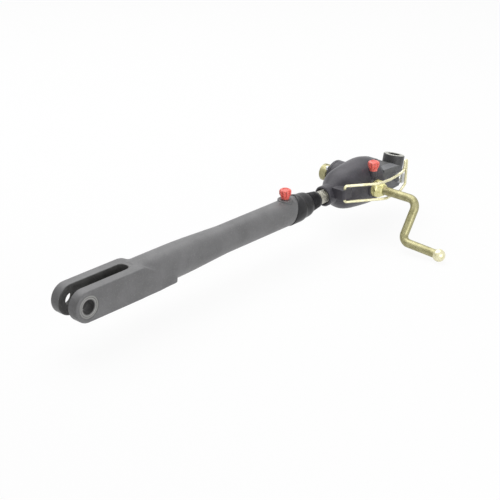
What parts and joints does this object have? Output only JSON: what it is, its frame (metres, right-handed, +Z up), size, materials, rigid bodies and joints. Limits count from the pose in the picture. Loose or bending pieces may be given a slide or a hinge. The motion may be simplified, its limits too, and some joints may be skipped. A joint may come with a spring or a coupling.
{
  "type": "tractor leveling arm",
  "caption": "Three-point linkage leveling arm: forged clevis barrel on a screw, driven through a bevel gearbox by a side crank, with a pinned knuckle at the top.",
  "frame": {"origin": "centre of the cross hole in the lower fork, with the arm as pictured", "axes": "+X along the arm from the fork to the knuckle, +Y along the fork hole, away from the crank handle, +Z up, square to both; the knuckle bore leans 14.3 degrees forward from +Z as pictured"},
  "size_m": [0.6913, 0.2522, 0.1102],
  "materials": {
    "grey_paint": "satin grey paint on forged steel",
    "charcoal_paint": "satin charcoal paint on cast iron",
    "dark_steel": "dark phosphated steel",
    "black_rubber": "moulded black rubber",
    "red_plastic": "moulded red plastic",
    "bright_zinc": "bright zinc plate",
    "machined_steel": "machined steel",
    "bronze": "turned bronze",
    "gasket_paper": "oiled gasket paper",
    "yellow_zinc": "yellow passivated zinc plate"
  },
  "bodies": {
    "barrel": {"lower_fork": "grey_paint", "barrel_boot": "black_rubber", "barrel_nipple": "bright_zinc", "barrel_nipple_cap": "red_plastic"},
    "screw": {"lift_screw": "machined_steel", "driven_gear": "machined_steel", "gear_key": "machined_steel", "lock_washer": "machined_steel", "gear_nut": "machined_steel", "thrust_balls": "machined_steel", "thrust_race_turning": "machined_steel"},
    "housing": {"gear_housing": "charcoal_paint", "neck_bush": "bronze", "neck_seal": "black_rubber", "thrust_race_fixed": "machined_steel", "upper_yoke": "charcoal_paint", "yoke_gasket": "gasket_paper", "yoke_lock_screw": "dark_steel", "side_cover": "charcoal_paint", "side_cover_gasket": "gasket_paper", "side_cover_screw_1": "bright_zinc", "side_cover_screw_2": "bright_zinc", "side_cover_screw_3": "bright_zinc", "side_cover_screw_4": "bright_zinc", "front_bush": "bronze", "rear_bush": "bronze", "dome_nipple": "bright_zinc", "dome_nipple_cap": "red_plastic", "knuckle_pin": "bright_zinc", "knuckle_pin_clip": "bright_zinc", "knuckle_pin_washer": "bright_zinc"},
    "crank": {"crank_shaft": "machined_steel", "pinion": "machined_steel", "pinion_pin": "machined_steel", "rear_collar": "yellow_zinc", "rear_collar_pin": "yellow_zinc", "thrust_washer_inner": "yellow_zinc", "thrust_washer_outer": "yellow_zinc", "crank_hub": "yellow_zinc", "crank_hub_pin": "yellow_zinc", "crank_rod": "yellow_zinc", "crank_ball": "yellow_zinc"},
    "bail": {"wire_bail": "yellow_zinc"},
    "knuckle": {"knuckle": "dark_steel"}
  },
  "joints": [
    {"name": "crank_spin", "type": "hinge", "parent": "housing", "child": "crank", "pos_m": [0.562, 0, 0], "axis": [0, 1, 0], "range_deg": [-810.5, 5670.5]},
    {"name": "screw_spin", "type": "hinge", "parent": "housing", "child": "screw", "pos_m": [0.562, 0, 0], "axis": [1, 0, 0], "range_deg": [-540.5, 3780.5]},
    {"name": "barrel_slide", "type": "slide", "parent": "housing", "child": "barrel", "axis": [1, 0, 0], "range_m": [-0.084, 0.012]},
    {"name": "bail_swing", "type": "hinge", "parent": "housing", "child": "bail", "pos_m": [0.496, -0.029, 0], "axis": [0, 0, -1], "range_deg": [0, 24]},
    {"name": "knuckle_pivot", "type": "hinge", "parent": "housing", "child": "knuckle", "pos_m": [0.621, 0, 0], "axis": [0, -1, 0], "range_deg": [-25.7, 54.3]}
  ],
  "couplings": [
    {"joint": "crank_spin", "follows": "barrel_slide", "rad_per_m": -1178.1},
    {"joint": "screw_spin", "follows": "barrel_slide", "rad_per_m": -785.4}
  ]
}
